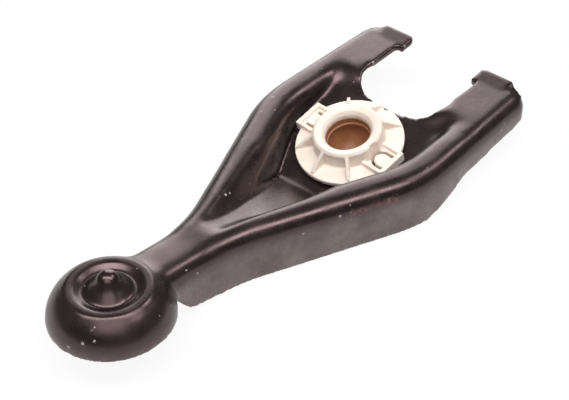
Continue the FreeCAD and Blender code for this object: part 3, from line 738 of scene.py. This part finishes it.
# How much the normal points up or down, and the height, where the skirts' painted sheen starts and is
# full.
SKIRT_UPRIGHT = (0.45, 0.12)
SKIRT_HEIGHT = (-1.0 * MM, -6.0 * MM)
SHEEN_CLOUDS = (75.0, 8.0, 0.7, 0.35, 0.62)
SHEEN_LEAST = 0.25


def height_of(tree, vector):
    """The z part of a vector."""
    return add_node(tree, "ShaderNodeSeparateXYZ", {"Vector": vector}).outputs["Z"]


facing = height_of(tree, add_node(tree, "ShaderNodeNewGeometry").outputs["Normal"])
upright = remap(tree, calculate(tree, "ABSOLUTE", facing), *SKIRT_UPRIGHT)
low_down = remap(tree, height_of(tree, place), *SKIRT_HEIGHT)
skirt = calculate(tree, "MULTIPLY", upright, low_down)
painted_sheen = clouds(tree, place, SHEEN_CLOUDS, SHEEN_LEAST)
colour = blend_colours(tree, calculate(tree, "MULTIPLY", skirt, painted_sheen), colour, SKIRT_PAINTED_SHEEN)
print("skirts scuffed up to", SKIRT_HEIGHT[0] / MM, "mm")

# %% [markdown]
# ### Dust
# Fine dust lies on the paint as pale specks, in some places and not in others. A Voronoi texture
# gives a dot near the middle of each of its cells, and noise picks the places.

# %% Black paint: dust
SPECK = (0.45, 0.42, 0.38)
SPECK_SCALE = 330.0
# The distance from a cell's middle, as a share of the cell, where a speck starts and is full.
SPECK_EDGE = (0.09, 0.05)
SPECK_CLOUDS = (90.0, 2.0, 0.5, 0.60, 0.63)

cells = add_node(tree, "ShaderNodeTexVoronoi", {"Scale": SPECK_SCALE, "Vector": place})
dots = remap(tree, cells.outputs["Distance"], *SPECK_EDGE)
specks = calculate(tree, "MULTIPLY", dots, clouds(tree, place, SPECK_CLOUDS))
colour = blend_colours(tree, specks, colour, SPECK)
print("specks about", round(1.0 / SPECK_SCALE / MM, 1), "mm apart")

# %% [markdown]
# ### Marks
# Some marks have a place of their own: grains of dust on the cup, the neck and the ridges, a painted
# reddish-brown glint along the near shoulder, and bare steel at a few edges with a painted highlight
# on it. They could be flecks laid on the surface, but those would stand off it, so they are in the
# paint.
# Each is a small ball round a point, broken up by fine noise so that its edge is ragged.

# %% Black paint: marks
DUST_PLACES = (
    (-130.5, -8.2, 4.5), (-134.0, -7.4, 0.6), (-131.7, -10.4, 1.7), (-132.8, -12.0, -5.0),
    (-136.2, -3.0, -2.4), (-90.5, -8.4, 1.6), (-87.0, -9.7, -1.7), (-55.2, 8.0, 1.9),
    (-53.1, 8.2, 1.4), (-58.4, 8.3, 2.9), (-48.3, -21.1, -3.5), (-35.5, -26.4, -1.3),
)
# A painted reddish-brown glint along the near shoulder, where a lamp's highlight falls.
SHOULDER_GLINT_PLACES = (
    (-31.3, -28.2, -1.5), (-28.6, -29.5, -1.5), (-25.9, -30.5, -1.2), (-23.2, -31.6, -0.9),
    (-20.8, -32.7, -1.0), (-18.5, -33.7, -1.0), (-16.2, -34.6, -1.0),
)
# Bare steel at a few cut edges, with a painted highlight at the same places.
BARE_STEEL_AND_HIGHLIGHT_PLACES = (
    (36.0, 18.9, 3.6), (37.5, 18.9, 3.7), (39.4, 18.8, 3.8), (53.2, 16.2, 4.4), (-3.5, 33.4, 3.2),
)
# Each kind of mark: its places and its radius in mm, and its colour.
MARKS = (
    (DUST_PLACES, 0.65, (0.60, 0.55, 0.50)),
    (SHOULDER_GLINT_PLACES, 1.8, (0.13, 0.062, 0.048)),
    (BARE_STEEL_AND_HIGHLIGHT_PLACES, 0.9, (0.42, 0.36, 0.32)),
)
# The share of its radius within which a mark is full.
MARK_CORE = 0.5
MARK_CLOUDS = (900.0, 4.0, 0.7, 0.48, 0.60)


def spot(tree, place, centre, radius):
    """1 in the core round a place in mm, and 0 beyond a radius in mm."""
    ends = in_order(place, Vector(centre) * MM)
    distance = add_node(tree, "ShaderNodeVectorMath", ends, operation="DISTANCE").outputs["Value"]
    return remap(tree, distance, radius * MM, MARK_CORE * radius * MM)


broken = clouds(tree, place, MARK_CLOUDS)
for centres, radius, shade in MARKS:
    spots = largest(tree, [spot(tree, place, centre, radius) for centre in centres])
    colour = blend_colours(tree, calculate(tree, "MULTIPLY", spots, broken), colour, shade)
feed(tree, colour, shader.inputs["Base Color"])
print("marks:", [len(centres) for centres, _, _ in MARKS])

# %% [markdown]
# ### Gloss and relief
# The gloss varies in clouds, as the wear does. Under it lie three sizes of unevenness: the fine
# grain of the paint, the pits of the steel, and the slow waves that the press left.

# %% Black paint: gloss and relief
GLOSS_CLOUDS = (110.0, 6.0, 0.65, 0.3, 0.7)
PAINT_ROUGHNESS = (0.21, 0.36)
# Each layer: scale, detail and roughness of its noise, height in mm.
PAINT_RELIEF = ((1500.0, 3.0, 0.6, 0.02), (420.0, 4.0, 0.6, 0.04), (95.0, 3.0, 0.5, 0.15))
PAINT_RELIEF_STRENGTH = 0.5

feed(tree, clouds(tree, place, GLOSS_CLOUDS, *PAINT_ROUGHNESS), shader.inputs["Roughness"])
feed(tree, relief(tree, place, PAINT_RELIEF, PAINT_RELIEF_STRENGTH), shader.inputs["Normal"])
surface(tree, shader.outputs["BSDF"])
fork.data.materials.append(paint)
print("material", paint.name, "has", len(tree.nodes), "nodes")

# %% [markdown]
# ## White and brown plastic
# Both are glassy nylons with a slight sheen. The white one is a warm cream with faint darker
# clouds, and light goes a little way into it. The brown one is darker and a little glossier. One
# function makes both, because only their colours, gloss and depth differ.

# %% Plastics
PLASTIC_CLOUDS = (220.0, 4.0, 0.6, 0.35, 0.7)
SATIN_CLOUDS = (500.0, 2.0, 0.5, 0.3, 0.7)
SATIN_RANGE = 0.12
PLASTIC_RELIEF = ((1500.0, 2.0, 0.5, 0.03),)
PLASTIC_RELIEF_STRENGTH = 0.25
PLASTIC_LIGHT_REACH = 1.0 * MM
# Each plastic: light colour, dark colour, least roughness, share of light that goes into it.
CREAM = ((0.94, 0.83, 0.74), (0.88, 0.76, 0.66), 0.38, 0.15)
BROWN = ((0.36, 0.155, 0.075), (0.28, 0.115, 0.052), 0.25, 0.0)


def plastic(name, light, dark, shine, depth):
    """A moulded plastic between two colours, with a fine satin grain."""
    material, tree = new_material(name)
    place = object_place(tree)
    shader = add_node(tree, "ShaderNodeBsdfPrincipled", {
        "Base Color": blend_colours(tree, clouds(tree, place, PLASTIC_CLOUDS), light, dark),
        "Roughness": clouds(tree, place, SATIN_CLOUDS, shine, shine + SATIN_RANGE),
        "Subsurface Weight": depth,
        "Subsurface Scale": PLASTIC_LIGHT_REACH,
        "Normal": relief(tree, place, PLASTIC_RELIEF, PLASTIC_RELIEF_STRENGTH),
    })
    surface(tree, shader.outputs["BSDF"])
    return material


ring.data.materials.append(plastic("cream_nylon", *CREAM))
cup.data.materials.append(plastic("brown_nylon", *BROWN))
print("materials cream_nylon and brown_nylon")

# %% End with nothing selected
deselect()
